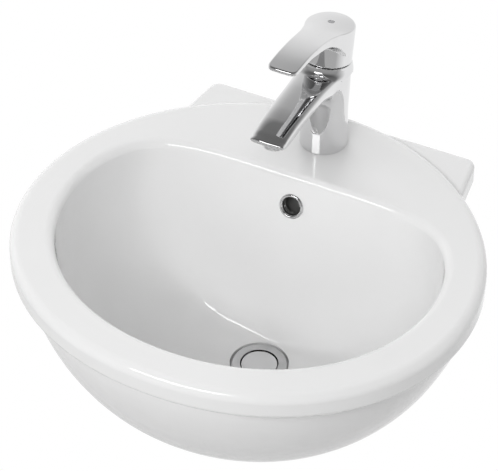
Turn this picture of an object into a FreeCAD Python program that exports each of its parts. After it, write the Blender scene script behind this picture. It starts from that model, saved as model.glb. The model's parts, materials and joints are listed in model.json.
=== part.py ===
"""Semi recessed wash basin with a single lever tap and a click waste.

Frame: X = 0 is the plane of symmetry, Y = 0 is the wall at the back edge, the user stands at -Y,
and Z = 0 is the worktop that the flat underside of the rim rests on. All sizes are millimetres.
"""
import FreeCAD
import Part
import Sketcher
import math
import os

Vector = FreeCAD.Vector
UP = Vector(0, 0, 1)
SIDE = Vector(1, 0, 0)

doc = FreeCAD.newDocument("SemiRecessedBasin")

# ---------------------------------------------------------------- driving dimensions
SIZES = [
    # rim: two half superellipses that meet on the widest line
    ("rim_half_width", 250.0),
    ("rim_front_reach", 217.4),
    ("rim_back_reach", 235.8),
    ("rim_front_power", 2.08),
    ("rim_back_power", 1.94),
    ("rim_height", 30.0),
    ("rim_top_round", 10.0),
    ("rim_under_round", 6.0),
    # flat wings that square off the back corners
    ("wing_back_half_width", 157.5),
    ("wing_front_half_width", 166.0),
    ("wing_reach", 62.0),
    ("wing_height", 22.0),
    ("wing_corner_round", 12.0),
    ("wing_top_round", 5.0),
    # bowl: opening outline and depth
    ("bowl_half_width", 206.0),
    ("bowl_front_reach", 181.3),
    ("bowl_side_reach", 166.8),
    ("bowl_back_line", 110.0),
    ("bowl_power", 2.07),
    ("bowl_corner_power", 8.0),
    ("bowl_centre_from_wall", 228.5),
    ("bowl_depth", 198.0),
    ("bowl_edge_round", 9.0),
    ("bowl_back_lean", 0.17),
    # outer shell under the rim
    ("shell_half_width", 239.0),
    ("shell_front_reach", 223.5),
    ("shell_back_reach", 136.0),
    ("shell_back_power", 3.2),
    ("shell_centre_from_wall", 227.5),
    ("floor_wall", 20.0),
    ("outlet_boss_radius", 46.0),
    ("outlet_boss_drop", 6.0),
    ("outlet_boss_step", 6.0),
    # tap ledge
    ("tap_from_wall", 51.1),
    ("tap_hole_radius", 17.5),
    ("deck_thickness", 16.0),
    ("pocket_half_width", 70.0),
    ("pocket_back_land", 18.0),
    ("pocket_length", 62.0),
    ("pocket_corner", 10.0),
    # overflow
    ("overflow_drop", 33.0),
    ("overflow_hole_radius", 11.5),
    ("overflow_ring_radius", 14.0),
    ("overflow_ring_flange", 1.6),
    ("overflow_ring_wall", 1.4),
    ("overflow_ring_length", 8.0),
    ("overflow_face_width", 1.6),
    ("channel_wall", 8.5),
    ("channel_depth", 8.0),
    ("channel_half_width", 22.0),
    # waste
    ("waste_from_wall", 207.7),
    ("waste_hole_radius", 23.0),
    ("waste_recess_radius", 32.3),
    ("flange_radius", 31.5),
    ("flange_thickness", 3.2),
    ("flange_seal_thickness", 2.0),
    ("tail_radius", 20.95),
    ("tail_bore_radius", 18.4),
    ("tail_length", 82.0),
    ("runout_top", 43.5),
    ("runout_width", 2.0),
    ("runout_depth", 0.8),
    ("slot_top", 8.0),
    ("slot_height", 16.0),
    ("slot_half_width", 7.0),
    ("plug_radius", 19.9),
    ("plug_gap", 1.1),
    ("plug_thickness", 2.4),
    ("plug_sink", 0.4),
    ("plug_seal_thickness", 2.2),
    ("seat_taper", 2.4),
    ("bar_drop", 30.0),
    ("bar_height", 8.0),
    ("bar_half_width", 5.0),
    ("click_radius", 6.5),
    ("click_above_bar", 6.0),
    ("click_below_bar", 22.0),
    ("click_wall", 1.6),
    ("plug_rod_radius", 3.0),
    ("spring_wall", 1.2),
    ("spring_length", 12.0),
    ("lower_seal_radius", 33.0),
    ("lower_seal_thickness", 5.0),
    ("waste_washer_thickness", 1.6),
    ("backnut_flats", 58.0),
    ("backnut_thickness", 10.0),
    # tap body, measured from the ledge at the tap hole
    ("column_foot_radius", 26.35),
    ("column_waist_radius", 25.2),
    ("column_head_radius", 25.9),
    ("column_waist_height", 60.0),
    ("head_height", 107.7),
    ("head_set_back", 4.4),
    ("head_tilt", 11.0),
    ("spout_reach", 140.0),
    ("spout_half_width", 20.5),
    ("spout_top", 106.0),
    ("spout_depth", 16.5),
    ("spout_tip_drop", 6.5),
    ("waterway_radius", 4.5),
    ("waterway_height", 96.8),
    ("spigot_radius", 16.5),
    ("spigot_length", 7.0),
    ("inlet_radius", 5.0),
    ("inlet_pipe_radius", 3.5),
    ("inlet_depth", 12.0),
    ("inlet_half_spacing", 7.5),
    ("inlet_set_back", 3.5),
    ("port_height", 31.5),
    ("port_radius", 3.9),
    ("port_depth", 5.0),
    ("port_plug_sink", 1.2),
    # aerator
    ("aerator_back", 19.0),
    ("aerator_lift", 1.0),
    ("aerator_radius", 11.2),
    ("aerator_wall", 1.5),
    ("aerator_length", 9.5),
    ("aerator_stand_out", 0.8),
    ("aerator_boss_wall", 2.0),
    ("aerator_seal_thickness", 1.4),
    ("aerator_hole_radius", 1.15),
    ("aerator_hole_ring", 3.1),
    # tap fixing
    ("foot_seal_thickness", 1.6),
    ("foot_seal_width", 3.0),
    ("foot_seal_radius", 23.8),
    ("stud_radius", 4.0),
    ("stud_forward", 10.0),
    ("stud_in_body", 12.0),
    ("stud_past_nut", 6.0),
    ("clamp_radius", 24.0),
    ("clamp_slot_half_width", 13.0),
    ("clamp_slot_forward", 3.0),
    ("clamp_gasket_thickness", 3.0),
    ("clamp_plate_thickness", 2.5),
    ("fixing_nut_flats", 13.0),
    ("fixing_nut_thickness", 6.5),
    # mixing cartridge, measured from the seam plane along the tilted axis
    ("cartridge_bore_radius", 16.5),
    ("cartridge_bore_depth", 19.0),
    ("cartridge_shoulder_radius", 16.2),
    ("cartridge_body_radius", 13.8),
    ("cartridge_cavity_radius", 12.1),
    ("cartridge_floor", 4.0),
    ("cartridge_seal_thickness", 1.5),
    ("cartridge_shoulder_drop", 1.0),
    ("cartridge_shoulder_thickness", 5.0),
    ("cartridge_top", 9.3),
    ("cartridge_port_radius", 2.6),
    ("disc_thickness", 3.9),
    ("carriage_radius", 9.5),
    ("carriage_height", 8.6),
    ("moving_disc_thickness", 3.5),
    ("nut_thread_radius", 18.2),
    ("nut_thread_length", 8.0),
    ("nut_head_radius", 16.6),
    ("nut_head_height", 7.0),
    ("cover_radius", 19.7),
    ("cover_wall", 1.3),
    ("cover_height", 12.0),
    ("cover_opening_radius", 10.0),
    ("rotor_flange_thickness", 6.0),
    ("rotor_neck_radius", 9.4),
    ("rotor_top", 15.5),
    ("stem_half_width", 4.0),
    ("stem_top", 32.0),
    ("stem_arm", 10.0),
    ("stem_ball_radius", 2.6),
    ("stem_rod_radius", 2.0),
    ("pivot_height", 12.0),
    ("pivot_pin_radius", 1.5),
    # lever
    ("lever_lift_limit", 22.0),
    ("skirt_radius", 26.3),
    ("skirt_wall", 2.7),
    ("skirt_gap", 1.2),
    ("lever_top", 42.7),
    ("lever_roof", 7.0),
    ("lever_boss_radius", 9.0),
    ("lever_boss_bottom", 20.0),
    ("lever_reach", 122.0),
    ("lever_half_width", 17.2),
    ("lever_arch", 2.9),
    ("lever_thickness", 5.0),
    ("set_screw_radius", 2.4),
    ("set_screw_height", 26.0),
    ("set_screw_length", 4.6),
    ("key_hole_radius", 3.2),
    ("indicator_radius", 3.7),
    ("indicator_depth", 1.5),
    # clearances
    ("running_gap", 0.05),
    ("slide_gap", 0.2),
    ("loose_gap", 0.3),
    ("thread_gap", 0.1),
]

sheet = doc.addObject("Spreadsheet::Sheet", "Sizes")
for row, (alias, value) in enumerate(SIZES, start=1):
    sheet.set("A%d" % row, alias.replace("_", " "))
    sheet.set("B%d" % row, repr(value))
    sheet.setAlias("B%d" % row, alias)
doc.recompute()


def size(alias):
    """The value of one named size from the sheet."""
    return float(getattr(sheet, alias))


def worth(formula):
    """The value of a formula in the sheet's names, such as 'flange_radius + 1'."""
    return float(sheet.evalExpression(formula))


def bound(formula):
    """The same formula as other objects of the document write it."""
    words = []
    word = ""
    for letter in formula + " ":
        if letter.isalnum() or letter == "_":
            word += letter
            continue
        words.append("Sizes." + word if "_" in word else word)
        words.append(letter)
        word = ""
    return "".join(words).strip()


# ---------------------------------------------------------------- helpers for bodies
NODES = []


def node(item, label, place=None):
    """Give a sub-part its name and its place, and put it on the list to write out."""
    item.Label = label
    if place is not None:
        item.Placement = place
    NODES.append(item)
    return item


def origin_plane(body, role):
    return [item for item in body.Origin.OriginFeatures if item.Role == role][0]


def new_sketch(body, name, role, lift="0"):
    """A sketch on one of the body's own planes, lifted along the plane's normal by a formula."""
    sketch = body.newObject("Sketcher::SketchObject", name)
    sketch.AttachmentSupport = [(origin_plane(body, role), "")]
    sketch.MapMode = "FlatFace"
    if lift != "0":
        sketch.AttachmentOffset = FreeCAD.Placement(Vector(0, 0, worth(lift)), FreeCAD.Rotation())
        sketch.setExpression("AttachmentOffset.Base.z", bound(lift))
    return sketch


def tie(sketch, kind, first, formula, *rest):
    """Add one dimension to a sketch and bind it to a formula."""
    index = sketch.addConstraint(Sketcher.Constraint(kind, *first, *rest, worth(formula)))
    name = "size%d" % index
    sketch.renameConstraint(index, name)
    sketch.setExpression("Constraints." + name, bound(formula))


def outline(sketch, corners):
    """A closed outline through corners given as pairs of formulas."""
    start = sketch.GeometryCount
    count = len(corners)
    points = [Vector(worth(a), worth(b), 0) for a, b in corners]
    for i in range(count):
        sketch.addGeometry(Part.LineSegment(points[i], points[(i + 1) % count]), False)
    for i in range(count):
        following = start + (i + 1) % count
        sketch.addConstraint(Sketcher.Constraint("Coincident", start + i, 2, following, 1))
    for i, (across, along) in enumerate(corners):
        tie(sketch, "DistanceX", (-1, 1, start + i, 1), across)
        tie(sketch, "DistanceY", (-1, 1, start + i, 1), along)


def ring_hole(sketch, radius, across="0", along="0"):
    """A circle with its radius and centre bound to formulas."""
    centre = Vector(worth(across), worth(along), 0)
    index = sketch.addGeometry(Part.Circle(centre, UP, worth(radius)), False)
    tie(sketch, "Radius", (index,), radius)
    tie(sketch, "DistanceX", (-1, 1, index, 3), across)
    tie(sketch, "DistanceY", (-1, 1, index, 3), along)


def turned(name, corners):
    """A body turned about its own Z axis from (radius, height) corners."""
    body = doc.addObject("PartDesign::Body", name)
    profile = new_sketch(body, name + "Profile", "XZ_Plane")
    outline(profile, corners)
    turn = body.newObject("PartDesign::Revolution", name + "Turn")
    turn.Profile = profile
    turn.ReferenceAxis = (profile, ["V_Axis"])
    turn.Angle = 360
    doc.recompute()
    return body


def padded(name, corners, height, lift="0"):
    """A body with a flat outline in its XY plane and a height upwards."""
    body = doc.addObject("PartDesign::Body", name)
    profile = new_sketch(body, name + "Profile", "XY_Plane", lift)
    outline(profile, corners)
    pad = body.newObject("PartDesign::Pad", name + "Pad")
    pad.Profile = profile
    pad.Length = worth(height)
    pad.setExpression("Length", bound(height))
    doc.recompute()
    return body


def cut_through(body, name, role, draw, lift="0"):
    """Cut all the way through the body, both ways from a plane, with what draw puts on the sketch."""
    before = body.Shape.Volume
    sketch = new_sketch(body, name + "Sketch", role, lift)
    draw(sketch)
    pocket = body.newObject("PartDesign::Pocket", name)
    pocket.Profile = sketch
    pocket.Type = 1
    pocket.Midplane = True
    doc.recompute()
    if body.Shape.Volume >= before:
        raise RuntimeError(name + " cuts nothing")
    return pocket


def cut_down(body, name, role, draw, depth, lift="0"):
    """Cut a blind pocket from a lifted plane, against the plane's normal."""
    before = body.Shape.Volume
    sketch = new_sketch(body, name + "Sketch", role, lift)
    draw(sketch)
    pocket = body.newObject("PartDesign::Pocket", name)
    pocket.Profile = sketch
    pocket.Length = worth(depth)
    pocket.setExpression("Length", bound(depth))
    doc.recompute()
    if body.Shape.Volume >= before:
        raise RuntimeError(name + " cuts nothing")
    return pocket


def solid_node(name, shape):
    """A sub-part whose free form is worked out here and set as its shape."""
    item = doc.addObject("Part::Feature", name)
    item.Shape = shape
    return item


def smooth_wire(points):
    """A closed smooth curve through points."""
    curve = Part.BSplineCurve()
    curve.interpolate(points, PeriodicFlag=True)
    return Part.Wire([curve.toShape()])


def smooth_edge(points):
    """An open smooth curve through points."""
    curve = Part.BSplineCurve()
    curve.interpolate(points)
    return curve.toShape()


def cylinder(radius, height, base, axis=UP):
    return Part.makeCylinder(radius, height, base, axis)


def box(x_half, y_from, y_to, z_from, z_to):
    """A box that is even about X = 0."""
    return Part.makeBox(2 * x_half, y_to - y_from, z_to - z_from, Vector(-x_half, y_from, z_from))


# ---------------------------------------------------------------- places that several pieces share
RIM_TOP = size("rim_height")
FLOOR = RIM_TOP - size("bowl_depth")
SEAT = FLOOR - size("flange_thickness") - size("flange_seal_thickness")
SHELL_DEPTH = size("bowl_depth") - RIM_TOP + size("floor_wall")
OUTLET_UNDERSIDE = -SHELL_DEPTH - size("outlet_boss_drop")
TAP = Vector(0, -size("tap_from_wall"), RIM_TOP)
DECK_UNDERSIDE = RIM_TOP - size("deck_thickness")
WASTE = Vector(0, -size("waste_from_wall"), 0)

TILT = math.radians(size("head_tilt"))
HEAD_UP = Vector(0, math.sin(TILT), math.cos(TILT))
HEAD_FORWARD = Vector(0, -math.cos(TILT), math.sin(TILT))
HEAD = TAP + Vector(0, size("head_set_back"), size("head_height"))
HEAD_PLACE = FreeCAD.Placement(HEAD, FreeCAD.Rotation(SIDE, -size("head_tilt")))
WASTE_PLACE = FreeCAD.Placement(WASTE + UP * FLOOR, FreeCAD.Rotation())


# ---------------------------------------------------------------- basin
def superellipse(angle, half_width, front, back, front_power, back_power):
    """Distance from the centre to the outline in one direction."""
    across = math.cos(angle)
    along = math.sin(angle)
    reach = back if along > 0 else front
    power = back_power if along > 0 else front_power
    return (abs(across / half_width) ** power + abs(along / reach) ** power) ** (-1 / power)


def bowl_opening(angle, depth_share):
    """The bowl's outline: an oval cut off by a straight back edge that leans in with depth."""
    oval = superellipse(angle, size("bowl_half_width"), size("bowl_front_reach"),
                        size("bowl_side_reach"), size("bowl_power"), 2.0)
    along = math.sin(angle)
    if along <= 0:
        return oval
    lean = size("bowl_back_lean") * (1 - (1 - depth_share) ** 2.2)
    back_line = size("bowl_back_line") * (1 - lean)
    power = size("bowl_corner_power")
    return (oval ** -power + (along / back_line) ** power) ** (-1 / power)


def side_share(angle, depth_share, fall, belly):
    """How much of the opening is left at a depth: full at the top, nothing at the floor."""
    back = max(0.0, math.sin(angle)) ** 2
    fall_here = fall + (1.1 - fall) * back
    belly_here = belly + (1.6 - belly) * back
    return max(0.0, 1 - depth_share ** fall_here) ** (1 / belly_here)


def bowl_point(angle, depth_share):
    """A point on the inside of the bowl."""
    neck = size("waste_recess_radius") + 1
    reach = neck + (bowl_opening(angle, depth_share) - neck) * side_share(angle, depth_share, 2.0, 2.3)
    shift = (size("bowl_centre_from_wall") - size("waste_from_wall")) * depth_share ** 2
    centre = -size("bowl_centre_from_wall") + shift
    height = RIM_TOP - size("bowl_depth") * depth_share
    return Vector(reach * math.cos(angle), centre + reach * math.sin(angle), height)


def shell_point(angle, depth_share):
    """A point on the outside of the shell below the rim."""
    neck = size("outlet_boss_radius") + size("outlet_boss_step")
    outer = superellipse(angle, size("shell_half_width"), size("shell_front_reach"),
                         size("shell_back_reach"), 2.0, size("shell_back_power"))
    reach = neck + (outer - neck) * side_share(angle, depth_share, 1.5, 2.2)
    shift = (size("shell_centre_from_wall") - size("waste_from_wall")) * depth_share ** 4
    centre = -size("shell_centre_from_wall") + shift
    return Vector(reach * math.cos(angle), centre + reach * math.sin(angle),
                  -SHELL_DEPTH * depth_share)


def depth_steps(count):
    """Shares of the depth, closer together towards the floor."""
    return [1 - (1 - k / count) ** 1.7 for k in range(count + 1)]


def lofted(point, steps, spokes, raised):
    """A solid through closed curves at each depth, with one curve repeated above the first."""
    angles = [2 * math.pi * k / spokes for k in range(spokes)]
    first = [point(angle, 0.0) for angle in angles]
    wires = [smooth_wire([Vector(p.x, p.y, p.z + raised) for p in first])]
    for share in steps:
        wires.append(smooth_wire([point(angle, share) for angle in angles]))
    return Part.makeLoft(wires, True, False)


def rim_solid():
    """The rim as a thick plate with a rounded top edge and a softer lower edge."""
    centre = -size("rim_back_reach")
    points = []
    for k in range(48):
        angle = 2 * math.pi * k / 48
        reach = superellipse(angle, size("rim_half_width"), size("rim_front_reach"),
                             size("rim_back_reach"), size("rim_front_power"), size("rim_back_power"))
        points.append(Vector(reach * math.cos(angle), centre + reach * math.sin(angle), 0))
    plate = Part.Face(smooth_wire(points)).extrude(UP * RIM_TOP)
    top = [edge for edge in plate.Edges if edge.BoundBox.ZMin > RIM_TOP - 0.1]
    plate = plate.makeFillet(size("rim_top_round"), top)
    under = [edge for edge in plate.Edges if edge.BoundBox.ZMax < 0.1]
    return plate.makeFillet(size("rim_under_round"), under)


def wing_solid():
    """The flat slab that carries both back corners."""
    back = size("wing_back_half_width")
    front = size("wing_front_half_width")
    reach = -size("wing_reach")
    corners = [Vector(-back, 0, 0), Vector(back, 0, 0), Vector(front, reach, 0), Vector(-front, reach, 0)]
    face = Part.Face(Part.makePolygon(corners + corners[:1]))
    slab = face.extrude(UP * size("wing_height"))
    uprights = [edge for edge in slab.Edges
                if edge.BoundBox.ZLength > size("wing_height") - 0.1 and edge.BoundBox.YMax > -0.1]
    slab = slab.makeFillet(size("wing_corner_round"), uprights)
    top = [edge for edge in slab.Edges
           if edge.BoundBox.ZMin > size("wing_height") - 0.1 and edge.BoundBox.YMax > reach + 0.1]
    return slab.makeFillet(size("wing_top_round"), top)


def back_profile(depth_share, offset):
    """A point behind the back wall of the bowl, on X = 0, at a distance along the wall's normal."""
    step = 0.004
    here = bowl_point(math.pi / 2, depth_share)
    after = bowl_point(math.pi / 2, depth_share + step)
    along = (after - here).normalize()
    outwards = Vector(0, -along.z, along.y)
    return here + outwards * offset


def overflow_channel():
    """The hollow behind the back wall that leads the overflow down to the waste hole."""
    start = (size("overflow_drop") - size("overflow_hole_radius") - 3) / size("bowl_depth")
    shares = [start + (0.955 - start) * k / 9 for k in range(10)]
    near = [back_profile(share, size("channel_wall")) for share in shares]
    far = [back_profile(share, size("channel_wall") + size("channel_depth")) for share in shares]
    mouth_top = FLOOR - size("channel_wall") + 0.5
    mouth_bottom = mouth_top - size("channel_depth") + 1
    inside = -size("waste_from_wall") + size("waste_hole_radius") - 4
    near.append(Vector(0, inside, mouth_top))
    far.append(Vector(0, inside, mouth_bottom))
    sides = [smooth_edge(near), Part.makeLine(near[-1], far[-1]), smooth_edge(far),
             Part.makeLine(far[0], near[0])]
    half = size("channel_half_width")
    face = Part.Face(Part.Wire(Part.__sortEdges__(sides)))
    face.translate(Vector(-half, 0, 0))
    return face.extrude(SIDE * 2 * half)


def overflow_place():
    """Where the overflow ring sits: on the back wall, square to it."""
    share = size("overflow_drop") / size("bowl_depth")
    here = bowl_point(math.pi / 2, share)
    inwards = (here - back_profile(share, 1.0)).normalize()
    return here, inwards


def deck_pocket():
    """The hollow under the tap ledge that leaves room for the tap's clamp."""
    half = size("pocket_half_width")
    back = -size("pocket_back_land")
    block = box(half, back - size("pocket_length"), back, -size("rim_height"), DECK_UNDERSIDE)
    uprights = [edge for edge in block.Edges if edge.BoundBox.ZLength > 1 and edge.Length > 1
                and edge.BoundBox.XLength < 0.1 and edge.BoundBox.YLength < 0.1]
    return block.makeFillet(size("pocket_corner"), uprights)


def basin_body():
    shell = lofted(shell_point, depth_steps(10), 40, RIM_TOP * 0.4)
    boss = cylinder(size("outlet_boss_radius"), size("outlet_boss_drop") + 4,
                    WASTE + UP * OUTLET_UNDERSIDE)
    bowl = lofted(bowl_point, depth_steps(12), 40, RIM_TOP)
    seat = cylinder(size("waste_recess_radius"), FLOOR - SEAT + 3, WASTE + UP * SEAT)
    body = rim_solid().fuse([wing_solid(), shell, boss]).cut(bowl)
    edges = [edge for edge in body.Edges
             if abs(edge.CenterOfMass.z - RIM_TOP) < 0.1 and edge.Length > size("bowl_half_width")]
    inner = min(edges, key=lambda edge: edge.Length)
    body = body.makeFillet(size("bowl_edge_round"), [inner])
    hole = cylinder(size("waste_hole_radius"), size("bowl_depth"), WASTE + UP * (OUTLET_UNDERSIDE - 5))
    tap_hole = cylinder(size("tap_hole_radius"), RIM_TOP + 20, TAP - UP * (RIM_TOP + 10))
    centre, inwards = overflow_place()
    reach = size("channel_wall") + size("channel_depth") / 2
    overflow = cylinder(size("overflow_hole_radius"), reach + 20, centre - inwards * reach, inwards)
    return body.cut([seat, hole, tap_hole, deck_pocket(), overflow_channel(), overflow])


node(solid_node("BasinBody", basin_body()), "basin_body")


def overflow_ring():
    ring = turned("OverflowRing", [
        ("overflow_hole_radius - loose_gap - overflow_ring_wall", "-overflow_ring_length"),
        ("overflow_hole_radius - loose_gap", "-overflow_ring_length"),
        ("overflow_hole_radius - loose_gap", "loose_gap"),
        ("overflow_ring_radius", "loose_gap"),
        ("overflow_ring_radius - overflow_ring_flange / 2", "loose_gap + overflow_ring_flange"),
        ("overflow_ring_radius - overflow_face_width - 1.4", "loose_gap + overflow_ring_flange"),
    ])
    centre, inwards = overflow_place()
    turn = FreeCAD.Rotation(UP, inwards)
    node(ring, "overflow_ring", FreeCAD.Placement(centre, turn))


overflow_ring()


# ---------------------------------------------------------------- waste
def waste_flange():
    """Flange, tail and crossbar in one turned casting; heights are from the bowl's floor."""
    seat = "plug_radius + plug_gap"
    body = turned("WasteFlange", [
        ("tail_bore_radius", "-tail_length"),
        ("tail_radius", "-tail_length"),
        ("tail_radius", "-runout_top - runout_width"),
        ("tail_radius - runout_depth", "-runout_top - runout_width"),
        ("tail_radius - runout_depth", "-runout_top"),
        ("tail_radius", "-runout_top"),
        ("tail_radius", "-flange_thickness"),
        ("flange_radius", "-flange_thickness"),
        ("flange_radius", "-flange_thickness * 0.55"),
        ("flange_radius - 2.5", "0"),
        (seat, "-plug_sink"),
        (seat, "-plug_sink - plug_thickness - 0.2"),
        ("tail_bore_radius", "-plug_sink - plug_thickness - plug_seal_thickness - seat_taper"),
    ])
    top = "-slot_top"
    bottom = "-slot_top - slot_height"

    def slot(sketch):
        outline(sketch, [("-slot_half_width", bottom), ("slot_half_width", bottom),
                         ("slot_half_width", top), ("-slot_half_width", top)])

    cut_through(body, "OverflowSlots", "XZ_Plane", slot)
    bar = new_sketch(body, "CrossbarSketch", "XY_Plane", "-bar_drop - bar_height")
    outline(bar, [("-tail_bore_radius - 1", "-bar_half_width"), ("tail_bore_radius + 1", "-bar_half_width"),
                  ("tail_bore_radius + 1", "bar_half_width"), ("-tail_bore_radius - 1", "bar_half_width")])
    pad = body.newObject("PartDesign::Pad", "Crossbar")
    pad.Profile = bar
    pad.Length = size("bar_height")
    pad.setExpression("Length", bound("bar_height"))
    doc.recompute()

    def thread(sketch):
        ring_hole(sketch, "click_radius + thread_gap")

    cut_down(body, "ClickThread", "XY_Plane", thread, "bar_height + 2", "-bar_drop + 1")
    node(body, "waste_flange", WASTE_PLACE)


def waste_rings():
    """The seals, washer and backnut that clamp the waste in the outlet."""
    node(turned("WasteTopSeal", [
        ("tail_radius + loose_gap", "-flange_thickness - flange_seal_thickness"),
        ("flange_radius - 1", "-flange_thickness - flange_seal_thickness"),
        ("flange_radius - 1", "-flange_thickness"),
        ("tail_radius + loose_gap", "-flange_thickness"),
    ]), "waste_top_seal", WASTE_PLACE)
    under = FreeCAD.Placement(WASTE + UP * OUTLET_UNDERSIDE, FreeCAD.Rotation())
    node(turned("WasteLowerSeal", [
        ("tail_radius + loose_gap", "-lower_seal_thickness"),
        ("lower_seal_radius", "-lower_seal_thickness"),
        ("lower_seal_radius - 2", "0"),
        ("tail_radius + loose_gap", "0"),
    ]), "waste_lower_seal", under)
    node(turned("WasteWasher", [
        ("tail_radius + loose_gap", "-lower_seal_thickness - waste_washer_thickness"),
        ("lower_seal_radius + 1", "-lower_seal_thickness - waste_washer_thickness"),
        ("lower_seal_radius + 1", "-lower_seal_thickness"),
        ("tail_radius + loose_gap", "-lower_seal_thickness"),
    ]), "waste_washer", under)
    nut = padded("WasteBackNut", hexagon("backnut_flats"), "backnut_thickness",
                 "-lower_seal_thickness - waste_washer_thickness - backnut_thickness")

    def bore(sketch):
        ring_hole(sketch, "tail_radius + thread_gap")

    cut_through(nut, "BackNutBore", "XY_Plane", bore)
    node(nut, "waste_backnut", under)


def hexagon(flats):
    """Corners of a hexagon, given the distance across its flats."""
    corners = []
    for k in range(6):
        angle = math.radians(60 * k + 30)
        reach = "(" + flats + ") * 0.57735"
        corners.append(("%s * %.6f" % (reach, math.cos(angle)), "%s * %.6f" % (reach, math.sin(angle))))
    return corners


def click_plug():
    """The plug that clicks down flush with the flange and rises to drain."""
    cap_under = "-plug_sink - plug_thickness"
    seal_under = cap_under + " - plug_seal_thickness"
    node(turned("PlugCap", [
        ("0", cap_under),
        ("plug_radius", cap_under),
        ("plug_radius", "-plug_sink - plug_thickness * 0.4"),
        ("plug_radius - 0.9", "-plug_sink"),
        ("0", "-plug_sink"),
    ]), "plug_cap", WASTE_PLACE)
    rod_socket = "plug_rod_radius + thread_gap"
    node(turned("PlugSeal", [
        (rod_socket + " + 5", seal_under),
        ("tail_bore_radius - slide_gap", seal_under),
        ("plug_radius - 0.5", cap_under),
        (rod_socket + " + 5", cap_under),
    ]), "plug_seal", WASTE_PLACE)
    rod_foot = "-bar_drop + click_above_bar - 14"
    node(turned("PlugStem", [
        ("0", rod_foot),
        ("plug_rod_radius", rod_foot),
        ("plug_rod_radius", cap_under + " - plug_seal_thickness"),
        (rod_socket + " + 4.9", cap_under + " - plug_seal_thickness"),
        (rod_socket + " + 4.9", cap_under),
        ("0", cap_under),
    ]), "plug_stem", WASTE_PLACE)
    barrel_top = "-bar_drop + click_above_bar"
    barrel_foot = "-bar_drop - bar_height - click_below_bar"
    node(turned("ClickBarrel", [
        ("0", barrel_foot),
        ("click_radius", barrel_foot),
        ("click_radius", barrel_top),
        ("plug_rod_radius + running_gap", barrel_top),
        ("plug_rod_radius + running_gap", barrel_top + " - click_wall"),
        ("click_radius - click_wall", barrel_top + " - click_wall"),
        ("click_radius - click_wall", barrel_foot + " + click_wall"),
        ("0", barrel_foot + " + click_wall"),
    ]), "click_barrel", WASTE_PLACE)
    spring_top = rod_foot + " - slide_gap"
    node(turned("ClickSpring", [
        ("click_radius - click_wall - loose_gap - spring_wall", spring_top + " - spring_length"),
        ("click_radius - click_wall - loose_gap", spring_top + " - spring_length"),
        ("click_radius - click_wall - loose_gap", spring_top),
        ("click_radius - click_wall - loose_gap - spring_wall", spring_top),
    ]), "click_spring", WASTE_PLACE)


waste_flange()
waste_rings()
click_plug()


# ---------------------------------------------------------------- tap body
def level_circle(radius, height, set_back=0.0, tilt=0.0):
    """A wire round the column at a height above the ledge."""
    axis = Vector(0, math.sin(tilt), math.cos(tilt))
    circle = Part.Circle(TAP + Vector(0, set_back, height), axis, radius)
    return Part.Wire([circle.toShape()])


def column():
    """The column, which leans back towards its head."""
    waist = size("column_waist_height")
    wires = [
        level_circle(size("column_foot_radius"), 0),
        level_circle((size("column_foot_radius") + size("column_waist_radius")) / 2, waist * 0.45),
        level_circle(size("column_waist_radius"), waist, size("head_set_back") * 0.15, TILT * 0.35),
        level_circle(size("column_head_radius"), size("head_height"), size("head_set_back"), TILT),
    ]
    return Part.makeLoft(wires, True, False)


# Share of the spout's reach; half-width as a share of the spout's; drop of the top and depth of the
# section as shares of the spout's depth.
SPOUT = [(0.057, 1.20, 0.16, 2.63), (0.13, 1.15, 0.12, 2.05), (0.20, 1.10, 0.085, 1.64),
         (0.28, 1.06, 0.05, 1.34), (0.37, 1.024, 0.024, 1.13), (0.50, 1.01, 0.006, 1.03),
         (0.63, 1.0, 0.0, 1.0), (0.785, 0.975, 0.05, 1.14), (0.91, 0.94, 0.205, 1.16),
         (0.975, 0.91, 0.37, 0.98), (1.0, 0.85, 0.47, 0.72)]


def spout_section(forward, half_width, top, depth):
    """A closed section of the spout: flat and wide on top, narrower underneath."""
    shoulder = size("spout_depth") * 0.38
    points = []
    for k in range(24):
        angle = 2 * math.pi * k / 24
        across = math.cos(angle)
        rise = math.sin(angle)
        reach = shoulder if rise > 0 else depth - shoulder
        wide = math.copysign(abs(across) ** 0.72, across)
        tall = math.copysign(abs(rise) ** (0.78 if rise > 0 else 0.88), rise)
        points.append(Vector(half_width * wide, -forward, top - shoulder + reach * tall))
    wire = smooth_wire(points)
    wire.translate(TAP)
    return wire


def spout():
    """The spout: a level tongue that grows out of the column and ends in a soft lip."""
    depth = size("spout_depth")
    wires = []
    for share, wide, drop, deep in SPOUT:
        wires.append(spout_section(size("spout_reach") * share, size("spout_half_width") * wide,
                                   size("spout_top") - depth * drop, depth * deep))
    return Part.makeLoft(wires, True, False)


def aerator_centre():
    return TAP - Vector(0, size("spout_reach") - size("aerator_back"), 0)


def aerator_mouth():
    """Height of the flat ring under the spout that the aerator screws into."""
    return size("spout_top") - size("spout_depth") - size("spout_tip_drop") + size("aerator_lift")


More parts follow.
